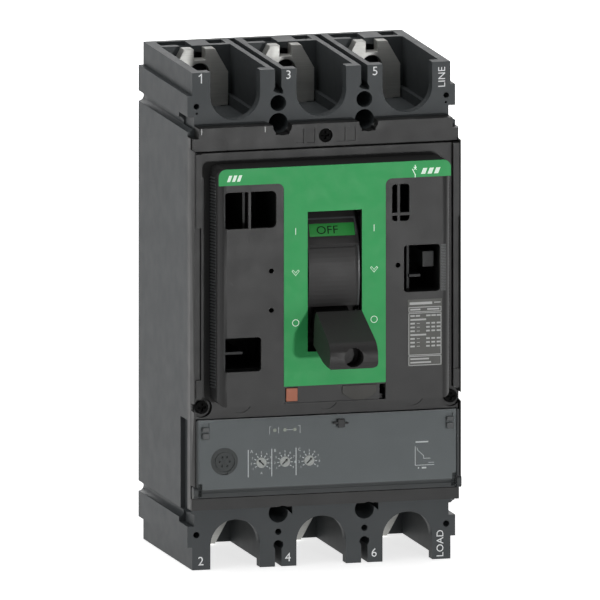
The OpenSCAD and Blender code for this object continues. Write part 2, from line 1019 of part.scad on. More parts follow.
module upper_links() {
    color([0.65, 0.65, 0.65])
        both_sides()
            slab_x(10.8, 13.2)
                difference() {
                    strap(link_pivot, knee_off, 5);
                    translate(link_pivot)
                        circle(pin_r + 0.06);
                    translate(knee_off)
                        circle(pin_r);
                }
}

module knee_pin() {
    color([0.7, 0.7, 0.7])
        rod_x(pin_r, -24.2, 24.2, knee_off);
}

// The eye at the knee is larger than the pin, because the linkage is open there
knee_eye_r = 5;

module lower_links() {
    color([0.65, 0.65, 0.65])
        both_sides()
            slab_x(21.3, 23.7)
                difference() {
                    union() {
                        strap(rod_off, knee_off, 3.6);
                        translate(knee_off)
                            circle(knee_eye_r + 2.4);
                    }
                    translate(rod_off)
                        circle(rod_r + 0.06);
                    translate(knee_off)
                        circle(knee_eye_r);
                }
}

// Tension springs between the knee and the yoke
module operating_springs() {
    v = anchor - knee_off;
    color([0.75, 0.75, 0.72])
        both_sides()
            slab_x(5.2, 8.8)
                strap(knee_off + 4.6 * v / norm(v), anchor - 8 * v / norm(v), 1.8);
}

// Toggle

module handle_yoke() {
    color([0.62, 0.62, 0.64]) {
        both_sides() {
            slab_x(15, 17.4)
                strap(pivot, anchor, 4.2);
            rod_x(3, 17.3, 20.6, pivot);
        }
        rod_x(2.6, -15.1, 15.1, anchor);
    }
}

// Side view of the neck inside the case
module neck_outline() {
    polygon([[-96, 3], [-96, 12.4], [-104, 11.4], [-121, neck_high], [-123, -8], [-116, neck_low],
        [-100, 1]]);
}

// Side view of the neck and of the grip, bored for the cross bar of the yoke
module handle_profile() {
    difference() {
        polygon([[-96, 3], [-96, 12.4], [-104, 11.4], [-121, neck_high], [-126.6, neck_high],
            [-129.8, 8.3], [-132, 7.5], [-155.6, -2.9], [-158, -4.8], [-159.5, -7.6], [-159.6, -13],
            [-158.4, -15.6], [-155.6, -17], [-152, -16.6], [-133.9, -11.3], [-122.6, -8],
            [-116, neck_low], [-100, 1]]);
        translate(anchor)
            circle(2.6);
    }
}

// Front view of the grip: it widens a little towards the tip and has round lower corners
module grip_front() {
    r = 3.6;
    c = grip_w / 2 - r;
    polygon([[1 - grip_w / 2, 13], [grip_w / 2 - 1, 13],
        for (a = [0:-15:-90]) [c + r * cos(a), r * sin(a) - 14],
        for (a = [-90:-15:-180]) [r * cos(a) - c, r * sin(a) - 14]]);
}

module toggle_handle() {
    color([0.22, 0.22, 0.22])
        difference() {
            intersection() {
                slab_x(-14, 14)
                    handle_profile();
                slab_y(-165, -90)
                    grip_front();
                // the neck is narrower than the grip
                slab_z(-30, 30)
                    polygon([[-13, -170], [13, -170], [13, -127], [9, -124.5], [9, -90], [-9, -90], [-9, -124.5],
                        [-13, -127]]);
            }
            // round hole in the tip
            rod_y(5, -165, -149, 0, -10.7);
        }
}

// Angles of the curtain, at OFF, above the front direction of the pivot
curtain_top = 45;
curtain_lip = -15.7;
curtain_low_lip = -37;
curtain_bottom = -84;
label_low = 19.5;
label_high = 26.1;
on_label_low = -68.5;
on_label_high = -62;

module toggle_shield() {
    color([0.24, 0.24, 0.25])
        difference() {
            slab_x(-13.5, 13.5) {
                curtain_sector(57, curtain_r, curtain_lip, curtain_top);
                curtain_sector(57, curtain_r, curtain_bottom, curtain_low_lip);
                // sunk bay around the handle
                curtain_sector(51, 53, curtain_low_lip - 1.6, curtain_lip + 1.6);
                curtain_sector(52, 58, curtain_lip, curtain_lip + 1.6);
                curtain_sector(52, 58, curtain_low_lip - 1.6, curtain_low_lip);
            }
            // seats of the position labels
            slab_x(-11.9, 11.9) {
                curtain_sector(58.2, 62, label_low, label_high);
                curtain_sector(58.2, 62, on_label_low, on_label_high);
            }
            // groove under the label
            slab_x(-12, 12)
                curtain_sector(58.3, 62, 13.9, 15.1);
            // passage of the handle neck
            slab_x(-9, 9)
                neck_outline();
        }
}

module position_labels() {
    color([0.18, 0.4, 0.22])
        slab_x(-11.9, 11.9) {
            curtain_sector(58.2, 58.5, label_low, label_high);
            curtain_sector(58.2, 58.5, on_label_low, on_label_high);
        }
}

base_case();
mid_cover();
accessory_cover();
face_label();
accessory_tray_left();
accessory_tray_right();
rating_label();
rating_tab();
mid_cover_screws();
accessory_cover_screws();
trip_unit_housing();
trip_unit_face();
trip_unit_board();
status_lamps();
test_socket();
trip_unit_cover();
setting_dial_1();
setting_dial_2();
setting_dial_3();
trip_button();
trip_bar();
trip_solenoid();
solenoid_plunger();
current_transformer_1();
current_transformer_2();
current_transformer_3();
line_terminal_1();
line_terminal_3();
line_terminal_5();
load_terminal_2();
load_terminal_4();
load_terminal_6();
fixed_contacts();
pole_cassette_1();
pole_cassette_2();
pole_cassette_3();
arc_chutes_1();
arc_chutes_2();
arc_chutes_3();
rotor_1();
rotor_2();
rotor_3();
moving_contact_1();
moving_contact_2();
moving_contact_3();
shaft_rods();
mechanism_frame();
cradle();
cradle_pin();
upper_links();
lower_links();
knee_pin();
operating_springs();
toggle_handle();
toggle_shield();
position_labels();
handle_yoke();
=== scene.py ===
"""Looks of the molded case breaker: materials, soft edges, printing, lights and camera."""

import json
import math

import bmesh
import bpy
from mathutils import Matrix, Vector


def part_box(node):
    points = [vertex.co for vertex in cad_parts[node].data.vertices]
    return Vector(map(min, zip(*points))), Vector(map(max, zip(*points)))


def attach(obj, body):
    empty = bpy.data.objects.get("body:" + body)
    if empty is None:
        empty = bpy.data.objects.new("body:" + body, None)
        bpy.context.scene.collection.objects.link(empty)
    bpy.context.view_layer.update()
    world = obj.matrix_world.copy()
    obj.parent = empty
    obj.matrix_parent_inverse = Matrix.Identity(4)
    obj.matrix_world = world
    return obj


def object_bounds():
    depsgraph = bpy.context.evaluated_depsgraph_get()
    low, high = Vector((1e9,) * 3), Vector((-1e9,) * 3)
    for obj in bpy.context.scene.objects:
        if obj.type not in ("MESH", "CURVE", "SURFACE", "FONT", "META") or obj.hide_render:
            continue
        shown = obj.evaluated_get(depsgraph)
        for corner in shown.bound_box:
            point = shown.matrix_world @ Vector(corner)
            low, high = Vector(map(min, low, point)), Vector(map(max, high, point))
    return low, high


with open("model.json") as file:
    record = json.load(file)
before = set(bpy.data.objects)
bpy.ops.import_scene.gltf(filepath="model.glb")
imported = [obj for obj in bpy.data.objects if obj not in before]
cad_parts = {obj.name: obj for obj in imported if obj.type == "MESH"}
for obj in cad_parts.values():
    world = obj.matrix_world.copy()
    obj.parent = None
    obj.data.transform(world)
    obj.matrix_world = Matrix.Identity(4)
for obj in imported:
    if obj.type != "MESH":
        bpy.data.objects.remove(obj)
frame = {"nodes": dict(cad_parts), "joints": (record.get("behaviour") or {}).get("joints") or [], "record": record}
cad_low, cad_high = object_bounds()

MM = 0.001
NODES = frame["nodes"]
scene = bpy.context.scene


# Materials


def linear(r, g, b):
    """An 8-bit sRGB colour as a linear RGBA colour."""
    out = []
    for v in (r, g, b):
        v /= 255
        out.append(v / 12.92 if v <= 0.04045 else ((v + 0.055) / 1.055) ** 2.4)
    return (*out, 1.0)


class Builder:
    """Adds nodes to one material."""

    def __init__(self, name):
        self.material = bpy.data.materials.new(name)
        self.material.use_nodes = True
        self.tree = self.material.node_tree
        self.tree.nodes.clear()
        self.out = self.add("ShaderNodeOutputMaterial")
        self.coords = self.add("ShaderNodeTexCoord").outputs["Object"]

    def add(self, kind, **values):
        """A new node with some of its attributes set."""
        node = self.tree.nodes.new(kind)
        for key, value in values.items():
            setattr(node, key, value)
        return node

    def link(self, a, b):
        self.tree.links.new(a, b)

    def stretched(self, scale):
        """The object's coordinates, scaled along each axis."""
        mapping = self.add("ShaderNodeMapping")
        mapping.inputs["Scale"].default_value = scale
        self.link(self.coords, mapping.inputs["Vector"])
        return mapping.outputs["Vector"]

    def noise(self, scale, detail=2.0, vector=None):
        """Soft noise from 0 to 1; the scale is in patches per metre."""
        node = self.add("ShaderNodeTexNoise")
        node.inputs["Scale"].default_value = scale
        node.inputs["Detail"].default_value = detail
        self.link(vector or self.coords, node.inputs["Vector"])
        return node.outputs["Fac"]

    def cells(self, scale):
        """The distance to the middle of the nearest of many small cells."""
        node = self.add("ShaderNodeTexVoronoi")
        node.inputs["Scale"].default_value = scale
        self.link(self.coords, node.inputs["Vector"])
        return node.outputs["Distance"]

    def spread(self, value, low, high, start=0.3, end=0.7):
        """Maps the range from start to end onto the range from low to high."""
        node = self.add("ShaderNodeMapRange")
        self.link(value, node.inputs["Value"])
        for name, number in zip(("From Min", "From Max", "To Min", "To Max"), (start, end, low, high)):
            node.inputs[name].default_value = number
        return node.outputs["Result"]

    def blend(self, fac, a, b):
        """Mixes two colours, each given as a colour or as a socket."""
        node = self.add("ShaderNodeMix", data_type="RGBA")
        self.link(fac, node.inputs[0])
        for socket, colour in ((node.inputs[6], a), (node.inputs[7], b)):
            if isinstance(colour, tuple):
                socket.default_value = colour
            else:
                self.link(colour, socket)
        return node.outputs[2]

    def bump(self, height, distance, strength, normal=None):
        """Relief from a height, on top of an earlier relief if there is one."""
        node = self.add("ShaderNodeBump")
        node.inputs["Strength"].default_value = strength
        node.inputs["Distance"].default_value = distance
        self.link(height, node.inputs["Height"])
        if normal:
            self.link(normal, node.inputs["Normal"])
        return node.outputs["Normal"]

    def principled(self, colour, rough, normal, **values):
        """The surface of the material."""
        node = self.add("ShaderNodeBsdfPrincipled")
        self.link(colour, node.inputs["Base Color"])
        self.link(rough, node.inputs["Roughness"])
        self.link(normal, node.inputs["Normal"])
        for key, value in values.items():
            node.inputs[key.replace("_", " ")].default_value = value
        self.link(node.outputs[0], self.out.inputs["Surface"])


def tone(colour, factor):
    """A colour made darker or lighter."""
    return tuple(c * factor for c in colour[:3]) + (1.0,)


def moulded(name, colour, rough=0.5, grain=2600, depth=0.25, specular=0.25):
    """Moulded plastic: fine spark-eroded grain, faint flow marks and slightly uneven gloss."""
    b = Builder(name)
    flow = b.noise(28, 4)
    speckle = b.noise(grain * 1.7, 2)
    base = b.blend(b.spread(flow, 0, 1), tone(colour, 0.98), tone(colour, 1.02))
    shade = b.blend(b.spread(speckle, 0, 0.5), base, tone(colour, 0.9))
    roughness = b.spread(b.noise(120, 5), rough - 0.03, rough + 0.03)
    normal = b.bump(b.cells(grain), 0.00004, depth)
    normal = b.bump(b.noise(45, 2), 0.0004, 0.012, normal)
    b.principled(shade, roughness, normal, Specular_IOR_Level=specular)
    return b.material


def printed(name, colour, rough=0.42, painted_glow=0.0):
    """A printed film: even ink over a very fine orange peel; bright inks get a little painted glow, an emission
    that lights them beyond their lamps.
    """
    b = Builder(name)
    ink = b.blend(b.spread(b.noise(60, 3), 0, 1), tone(colour, 0.97), tone(colour, 1.03))
    roughness = b.spread(b.noise(200, 3), rough - 0.04, rough + 0.05)
    normal = b.bump(b.noise(900, 2), 0.00002, 0.25)
    b.principled(ink, roughness, normal, Specular_IOR_Level=0.25, Emission_Color=colour,
                 Emission_Strength=painted_glow)
    return b.material


def metal(name, colour, rough=0.34, stretch=(60, 60, 2600), depth=0.2):
    """Plated or rolled metal with the fine lines of rolling and dull patches."""
    b = Builder(name)
    lines = b.noise(1, 4, b.stretched(stretch))
    stain = b.noise(70, 4)
    base = b.blend(b.spread(stain, 0, 1), tone(colour, 0.86), tone(colour, 1.05))
    shade = b.blend(b.spread(lines, 0, 0.35), base, tone(colour, 0.7))
    roughness = b.spread(b.noise(160, 5), rough - 0.07, rough + 0.09)
    normal = b.bump(lines, 0.00004, depth)
    b.principled(shade, roughness, normal, Metallic=1.0)
    return b.material


def wound(name, colour, axis_scale):
    """An enamelled winding: round turns side by side, its colour darkened between the turns as painted shade and
    lightened on their crests as painted highlight.
    """
    b = Builder(name)
    wave = b.add("ShaderNodeTexWave", bands_direction="Y")
    wave.inputs["Scale"].default_value = axis_scale
    b.link(b.coords, wave.inputs["Vector"])
    turns = wave.outputs["Fac"]
    # painted shade between the turns and painted highlight on their crests, following the bump of the turns
    shade = b.blend(turns, tone(colour, 0.55), tone(colour, 1.1))
    roughness = b.spread(b.noise(220, 2), 0.22, 0.34)
    b.principled(shade, roughness, b.bump(turns, 0.0002, 0.8))
    return b.material


def clear(name):
    """Clear polycarbonate: mostly see-through, with a soft gloss."""
    b = Builder(name)
    film = b.add("ShaderNodeBsdfTransparent")
    film.inputs["Color"].default_value = (0.97, 0.98, 0.98, 1)
    gloss = b.add("ShaderNodeBsdfPrincipled")
    shade = b.blend(b.noise(40, 2), linear(120, 123, 124), linear(132, 135, 136))
    b.link(shade, gloss.inputs["Base Color"])
    b.link(b.spread(b.noise(90, 3), 0.12, 0.2), gloss.inputs["Roughness"])
    b.link(b.bump(b.noise(35, 2), 0.0002, 0.05), gloss.inputs["Normal"])
    weight = b.add("ShaderNodeFresnel")
    weight.inputs["IOR"].default_value = 1.5
    mix = b.add("ShaderNodeMixShader")
    b.link(b.spread(weight.outputs[0], 0.05, 0.6, 0.04, 0.8), mix.inputs[0])
    b.link(film.outputs[0], mix.inputs[1])
    b.link(gloss.outputs[0], mix.inputs[2])
    b.link(mix.outputs[0], b.out.inputs["Surface"])
    return b.material


# How each material is made, its colour and then its finish, in the order of its function's arguments
RECIPES = {
    "base_plastic": (moulded, (73, 77, 79), 0.52),
    "cover_plastic": (moulded, (44, 44, 44), 0.42, 3000, 0.2),
    "toggle_plastic": (moulded, (48, 47, 47), 0.46, 3400, 0.16),
    "trip_plastic": (moulded, (66, 69, 70), 0.5),
    "tab_plastic": (moulded, (48, 47, 42), 0.4),
    "tray_plastic": (moulded, (48, 50, 50), 0.5),
    "button_plastic": (moulded, (188, 108, 76), 0.38, 3600, 0.12),
    "dial_plastic": (moulded, (236, 236, 232), 0.4, 3600, 0.1),
    "socket_plastic": (moulded, (70, 72, 72), 0.45),
    "lamp_plastic": (moulded, (206, 210, 196), 0.25, 3600, 0.06),
    # smoke_plastic is a lighter grey than the covers: on the curtain beads it is painted highlight, and on the
    # grip and window ribs its lightness paints part of their highlight
    "smoke_plastic": (moulded, (82, 85, 86), 0.3, 3000, 0.1),
    # shadow_plastic paints the shade at the bottom of the dial slots; the seal catch is also made of it
    "shadow_plastic": (moulded, (48, 49, 50), 0.45, 3000, 0.1),
    "cassette_plastic": (moulded, (120, 52, 36), 0.55, 1400, 0.5),
    "rotor_plastic": (moulded, (52, 52, 56), 0.5, 1800, 0.4),
    "core_steel": (moulded, (46, 46, 48), 0.35, 900, 0.4),
    # screw_black is near black with almost no gloss: painted shade of the deep screw wells, laid on the screws
    "screw_black": (moulded, (9, 9, 9), 0.6, 2600, 0.25, 0.05),
    "trip_face_print": (printed, (134, 138, 140), 0.5),
    "green_print": (printed, (50, 181, 99), 0.46),
    "dark_green_print": (printed, (56, 158, 74), 0.4),
    "grey_print": (printed, (92, 93, 89), 0.4),
    "board_laminate": (printed, (32, 84, 52), 0.3),
    # white_ink and mint_ink glow a little (their last number): painted light that makes the print read brighter
    "white_ink": (printed, (246, 248, 248), 0.5, 0.12),
    "mint_ink": (printed, (232, 252, 236), 0.5, 0.3),
    "dull_ink": (printed, (205, 206, 205), 0.5),
    "dark_ink": (printed, (8, 26, 12), 0.5),
    "coil_brown": (wound, (150, 96, 48), 420),
    "terminal_tin": (metal, (220, 220, 216), 0.56, (60, 60, 2600), 0.12),
    "contact_silver": (metal, (206, 206, 200), 0.28),
    "arm_copper": (metal, (202, 128, 88), 0.3),
    "mechanism_steel": (metal, (168, 170, 172), 0.32, (60, 60, 1600)),
    "spring_steel": (metal, (178, 178, 174), 0.25),
}
MATERIALS = {name: make(name, linear(*rgb), *finish) for name, (make, rgb, *finish) in RECIPES.items()}
MATERIALS["clear_plastic"] = clear("clear_plastic")


# Soft edges

# Bevel width of the nodes' edges, in mm; the grip of the handle is rounded the most
USUAL_EDGE = 0.25
EDGES = {
    "base_case": 0.35, "mid_cover": 0.3, "accessory_cover": 0.5, "mid_cover_screws": 0.2,
    "accessory_cover_screws": 0.2, "face_label": 0.05, "rating_label": 0.05, "rating_tab": 0.15,
    "position_labels": 0.04, "toggle_handle": 1.55, "toggle_shield": 0.3, "trip_button": 0.35,
    "trip_unit_face": 0.2, "trip_unit_cover": 0.15, "test_socket": 0.12, "status_lamps": 0.1,
    "setting_dial_1": 0.1, "setting_dial_2": 0.1, "setting_dial_3": 0.1, "line_terminal_1": 0.35,
    "line_terminal_3": 0.35, "line_terminal_5": 0.35,
}
SHARP = math.radians(32)  # edges that turn more than this are rounded


def smooth_shading():
    """A node group that shades every face smooth."""
    tree = bpy.data.node_groups.new("smooth_shading", "GeometryNodeTree")
    tree.interface.new_socket("Geometry", in_out="INPUT", socket_type="NodeSocketGeometry")
    tree.interface.new_socket("Geometry", in_out="OUTPUT", socket_type="NodeSocketGeometry")
    start = tree.nodes.new("NodeGroupInput")
    shade = tree.nodes.new("GeometryNodeSetShadeSmooth")
    end = tree.nodes.new("NodeGroupOutput")
    tree.links.new(start.outputs[0], shade.inputs["Geometry"])
    tree.links.new(shade.outputs[0], end.inputs[0])
    return tree


SMOOTH = smooth_shading()


def soften(node, width, segments=2, blend=False):
    """Joins split corners, clears flat faces of inner edges, then rounds the sharp edges.

    With blend, the facets of round surfaces are shaded as one smooth surface.
    """
    weld = node.modifiers.new("weld", "WELD")
    weld.merge_threshold = 0.000002
    flat = node.modifiers.new("flat", "DECIMATE")
    flat.decimate_type = "DISSOLVE"
    flat.angle_limit = math.radians(0.5)
    if blend:
        node.modifiers.new("smooth", "NODES").node_group = SMOOTH
    bevel = node.modifiers.new("bevel", "BEVEL")
    bevel.width = width * MM
    bevel.segments = segments
    bevel.limit_method = "ANGLE"
    bevel.angle_limit = SHARP
    bevel.harden_normals = not blend
    bevel.use_clamp_overlap = True
    if blend:
        node.modifiers.new("even", "WEIGHTED_NORMAL")


slot_of = {s["node"]: s["material_slot"] for s in frame["record"]["subparts"]}
for name, node in NODES.items():
    node.data.materials.clear()
    node.data.materials.append(MATERIALS[slot_of[name]])
    if name == "toggle_handle":
        soften(node, EDGES[name], segments=4, blend=True)
    else:
        soften(node, EDGES.get(name, USUAL_EDGE))


# Printing: thin raised ink, drawn as [x, z] shapes on a plane that faces the front


class Print:
    """Collects flat shapes on a front face and makes one piece of them."""

    def __init__(self, plane_y, depth=0.05):
        self.bm = bmesh.new()
        self.front = (plane_y - depth) * MM
        self.back = (plane_y + 0.02) * MM

    def shape(self, points):
        """A filled outline, counter-clockwise as seen from the front."""
        front = [self.bm.verts.new((x * MM, self.front, z * MM)) for x, z in points]
        back = [self.bm.verts.new((x * MM, self.back, z * MM)) for x, z in points]
        self.bm.faces.new(front)
        self.bm.faces.new(list(reversed(back)))
        n = len(points)
        for i in range(n):
            j = (i + 1) % n
            self.bm.faces.new((front[j], front[i], back[i], back[j]))

    def bar(self, a, b, width):
        """A straight stroke between two points."""
        a, b = Vector(a), Vector(b)
        along = (b - a).normalized() * width / 2
        side = Vector((-along.y, along.x))
        self.shape([a - side, b - side, b + side, a + side])

    def line(self, points, width):
        """Strokes from point to point, with full corners."""
        for a, b in zip(points, points[1:]):
            a, b = Vector(a), Vector(b)
            reach = (b - a).normalized() * width / 2
            self.bar(a - reach, b + reach, width)

    def frame(self, x0, z0, x1, z1, width):
        """A rectangle of four strokes."""
        self.line([(x0, z0), (x1, z0)], width)
        self.line([(x0, z1), (x1, z1)], width)
        self.line([(x0, z0), (x0, z1)], width)
        self.line([(x1, z0), (x1, z1)], width)

    def ring(self, x, z, r, width, steps=36):
        """A circle of short strokes."""
        for i in range(steps):
            a, b = (2 * math.pi * k / steps for k in (i, i + 1))
            r0, r1 = r - width / 2, r + width / 2
            self.shape([(x + q * math.cos(t), z + q * math.sin(t))
                        for q, t in ((r0, a), (r1, a), (r1, b), (r0, b))])

    def text(self, words, x, z, height, turn=0.0, stretch=1.0):
        """Lettering centred on x, z, with capitals of that height."""
        curve = bpy.data.curves.new("words", "FONT")
        curve.body = words
        curve.align_x = "CENTER"
        curve.resolution_u = 4
        curve.size = 1
        holder = bpy.data.objects.new("words", curve)
        scene.collection.objects.link(holder)
        bpy.context.view_layer.update()
        mesh = bpy.data.meshes.new_from_object(holder.evaluated_get(bpy.context.evaluated_depsgraph_get()))
        bpy.data.objects.remove(holder)
        bpy.data.curves.remove(curve)
        low = min(v.co.y for v in mesh.vertices)
        high = max(v.co.y for v in mesh.vertices)
        left = min(v.co.x for v in mesh.vertices)
        right = max(v.co.x for v in mesh.vertices)
        scale = height / (high - low)
        turned = Matrix.Rotation(math.radians(turn), 2)
        flat = bmesh.new()
        flat.from_mesh(mesh)
        bpy.data.meshes.remove(mesh)
        for v in flat.verts:
            p = Vector(((v.co.x - (left + right) / 2) * scale * stretch, (v.co.y - (low + high) / 2) * scale))
            p = turned @ p
            v.co = ((x + p.x) * MM, self.front, (z + p.y) * MM)
        back = bmesh.ops.extrude_face_region(flat, geom=flat.faces[:])
        for v in back["geom"]:
            if isinstance(v, bmesh.types.BMVert):
                v.co.y = self.back
        bmesh.ops.recalc_face_normals(flat, faces=flat.faces)
        part = bpy.data.meshes.new("part")
        flat.to_mesh(part)
        flat.free()
        self.bm.from_mesh(part)
        bpy.data.meshes.remove(part)

    def piece(self, name, body, material, bend=None):
        """Makes the collected shapes one piece, after an optional bend of its points."""
        if bend:
            for v in self.bm.verts:
                v.co = bend(v.co)
        finish_piece(self.bm, name, body, material)


def finish_piece(bm, name, body, material):
    """Makes one object of a bmesh, with its material and the body that it rides on."""
    bmesh.ops.recalc_face_normals(bm, faces=bm.faces)
    mesh = bpy.data.meshes.new(name)
    bm.to_mesh(mesh)
    bm.free()
    piece = bpy.data.objects.new(name, mesh)
    scene.collection.objects.link(piece)
    piece.data.materials.append(MATERIALS[material])
    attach(piece, body)


def join_rings(bm, rings):
    """Faces between rings of points, and one face at each end."""
    bm.faces.new(rings[0])
    bm.faces.new(list(reversed(rings[-1])))
    for a, b in zip(rings, rings[1:]):
        for i in range(len(a)):
            j = (i + 1) % len(a)
            bm.faces.new((a[i], a[j], b[j], b[i]))


def front_of(node):
    """The plane of a node's front, in mm."""
    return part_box(node)[0].y / MM


# Printing on the case


def print_post_words():
    """Numbers and words on the fronts of the terminal posts."""
    ink = Print(front_of("base_case"))
    ink.line([(-63.9, 125.7), (-62.7, 126.7), (-62.7, 122.3)], 0.55)  # a plain 1
    for word, x, z in (("3", -17.2, 124.5), ("5", 28.1, 124.3),
                       ("2", -63, -122.9), ("4", -17.5, -122.9), ("6", 27.6, -122.6)):
        ink.text(word, x, z, 4.4)
    for word, x, z in (("LINE", 62.9, 119.7), ("LOAD", 62.0, -119.4)):
        ink.text(word, x, z, 3.6, 90)
    ink.piece("print_terminal_numbers", "case", "white_ink")


def print_band_ticks():
    """Two short ticks on the band below the line terminals."""
    band_front = -104
    ink = Print(band_front)
    for x in (-64.9, -31.6):
        ink.bar((x, 97.0), (x, 100.0), 0.5)
    ink.piece("print_band_ticks", "case", "dull_ink")


def slanted_bars(ink, x, z, width, height, pitch):
    """Three slanted bars side by side, from the lower left corner of the first."""
    lean = 1.2
    for i in range(3):
        left = x + pitch * i
        right = left + width
        ink.shape([(left, z), (right, z), (right + lean, z + height), (left + lean, z + height)])


def breaker_symbol(ink, x, z):
    """A plain switch symbol with a cross above it, from its lowest point."""
    ink.line([(x, z + 6.0), (x, z + 4.4)], 0.45)
    ink.line([(x - 0.6, z + 5.0), (x + 0.6, z + 3.8)], 0.35)
    ink.line([(x - 0.6, z + 3.8), (x + 0.6, z + 5.0)], 0.35)
    ink.line([(x, z + 1.2), (x - 1.4, z + 4.0)], 0.45)
    ink.line([(x, z + 1.2), (x, z)], 0.45)


def print_label_signs():
    """The signs of the three handle positions, and generic signs in the corners of the green label."""
    ink = Print(front_of("face_label"))
    for x in (-20.5, 20.5):
        ink.bar((x, 47.0), (x, 50.4), 0.36)
        ink.line([(x - 1.9, 28.3), (x, 26.0), (x + 1.9, 28.3), (x + 1.3, 28.9), (x, 27.4), (x - 1.3, 28.9),
                  (x - 1.9, 28.3)], 0.2)
        ink.ring(x, 1.8, 1.65, 0.29)
    breaker_symbol(ink, 42.0, 73.8)
    slanted_bars(ink, 45.0, 75.2, 2.2, 3.0, 3.4)
    slanted_bars(ink, -56.4, 75.6, 1.6, 3.2, 2.6)
    ink.piece("print_label_signs", "case", "mint_ink")


# Widths of the bars that stand for words and numbers in the rating table, by letter
WORD_WIDTHS = {"a": 2.3, "b": 2.75, "c": 1.9, "d": 2.3}
RATING_ROWS = ("aa.ddd", "bbb...", "a-.ccd", "a-.ccd", "a-.ccd", "bbb...", "a-.ccd", "a-.ccd", "a-.ccd")


def print_rating_table():
    """A table of plain bars in three frames: a letter is a word, a dash a thin line, a dot a gap."""
    margin, row_pitch, column_pitch = 0.5, 1.95, 2.75
    ink = Print(front_of("rating_label"))
    low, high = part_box("rating_label")
    x0, z0 = low.x / MM + margin, low.z / MM + margin
    x1, z1 = high.x / MM - margin, high.z / MM - margin
    ink.frame(x0, z0, x1, z0 + 4.6, 0.35)
    ink.frame(x0, z0 + 5.3, x1, z1 - 6.6, 0.35)
    ink.frame(x0, z1 - 5.9, x1, z1 - 3.6, 0.35)
    ink.bar((x0 + 0.4, z1 - 1.6), (x0 + 12.2, z1 - 1.6), 1.3)
    ink.bar((x0 + 13.2, z1 - 1.4), (x1 - 0.2, z1 - 1.4), 0.5)
    ink.bar((x0 + 0.8, z1 - 4.75), (x0 + 6.0, z1 - 4.75), 0.8)
    ink.bar((x0 + 9.6, z1 - 4.75), (x1 - 0.9, z1 - 4.75), 0.8)
    for row, cells in enumerate(RATING_ROWS):
        z = z1 - 8.0 - row_pitch * row
        for column, cell in enumerate(cells):
            x = x0 + 0.8 + column_pitch * column
            if cell in WORD_WIDTHS:
                ink.bar((x, z), (x + WORD_WIDTHS[cell], z), 0.85)
            elif cell == "-":
                ink.bar((x + 0.6, z), (x + 2.2, z), 0.3)
    ink.bar((x0 + 0.8, z0 + 3.2), (x0 + 10.5, z0 + 3.2), 0.8)
    ink.bar((x0 + 0.8, z0 + 1.4), (x0 + 11.6, z0 + 1.4), 0.8)
    ink.piece("print_rating_table", "case", "dull_ink")


# Printing on the trip unit


def middle(node):
    """The middle of a node as seen from the front, [x, z] in mm."""
    low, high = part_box(node)
    return (low.x + high.x) / 2 / MM, (low.z + high.z) / 2 / MM


DIALS = [middle(f"setting_dial_{i}") for i in (1, 2, 3)]


def dial_scale(ink, x, z, letter):
    """Nine marks with numbers round a dial, a line at its left and the letter of its group."""
    for k in range(9):
        a = math.radians(215 - 31.25 * k)
        d = Vector((math.cos(a), math.sin(a)))
        ink.bar(Vector((x, z)) + 3.0 * d, Vector((x, z)) + 4.1 * d, 0.42)
        ink.text(str(k + 1), x + 5.3 * d.x, z + 5.3 * d.y, 1.15)
    left = x - 6.9
    ink.bar((left, z - 7.2), (left, z + 6.9), 0.45)
    ink.text(letter, left + 1.8, z + 6.0, 1.5)


def lamp_brackets(ink):
    """Brackets round the status lamps, and the lines between them."""
    low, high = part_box("status_lamps")
    left, right = low.x / MM, high.x / MM
    z = (low.z + high.z) / 2 / MM
    for x, out in ((left - 1.0, -0.8), (right + 1.0, 0.8)):
        ink.line([(x, z + 1.9), (x + out, z + 1.9), (x + out, z - 1.9)], 0.2)
    ink.bar((left + 2.9, z - 1.6), (left + 2.9, z + 1.6), 0.2)
    ink.bar((left + 7.0, z), (right - 2.0, z), 0.2)


def trip_curve(ink, x, z):
    """A small graph of a trip curve, from the corner of its axes."""
    ink.line([(x, z + 9.6), (x, z), (x + 9.8, z)], 0.3)
    ink.line([(x + 0.9, z + 9.0), (x + 1.4, z + 7.6), (x + 4.4, z + 4.8), (x + 4.4, z + 3.4),
              (x + 7.8, z + 3.4)], 0.25)
    ink.line([(x + 7.0, z + 1.2), (x + 9.6, z + 1.2)], 0.25)
    ink.bar((x + 1.4, z - 1.4), (x + 2.0, z - 1.4), 0.8)
    ink.bar((x + 3.4, z - 1.4), (x + 5.8, z - 1.4), 0.8)
    ink.bar((x + 0.2, z + 11.9), (x + 6.8, z + 11.9), 0.7)


def print_trip_scales():
    """All printing on the face of the trip unit."""
    ink = Print(front_of("trip_unit_face"))
    for (x, z), letter in zip(DIALS, "ABC"):
        dial_scale(ink, x, z, letter)
    ink.text("A", DIALS[0][0], DIALS[0][1] - 5.3, 1.2)
    lamp_brackets(ink)
    trip_curve(ink, 46.0, -76.8)
    ink.piece("print_trip_scales", "case", "white_ink")


def paint_dial_slot_shade():
    """Dark arrow-headed sheets at the bottom of the setting dials' slots, painted shade for the shadow in the
    slots.
    """
    slot_depth = 0.9
    arrow = ((-0.33, -1.85), (0.33, -1.85), (0.33, 1.0), (0.8, 1.0), (0, 2.1), (-0.8, 1.0), (-0.33, 1.0))
    for i, ((x, z), degrees) in enumerate(zip(DIALS, (45, -45, -45)), 1):
        turned = Matrix.Rotation(math.radians(degrees), 2)
        ink = Print(front_of(f"setting_dial_{i}") + slot_depth, 0.03)
        ink.shape([Vector((x, z)) + turned @ Vector(point) for point in arrow])
        ink.piece(f"dial_slot_{i}", f"dial_{i}", "shadow_plastic")


# The curtain that turns with the handle

TOGGLE_PIVOT = Vector(next(joint["pos_m"] for joint in frame["joints"] if joint["name"] == "toggle_turn"))
CURTAIN_R = 59  # radius of the curtain, in mm
LABEL_R = 58.5  # radius of the fronts of its two labels, in mm


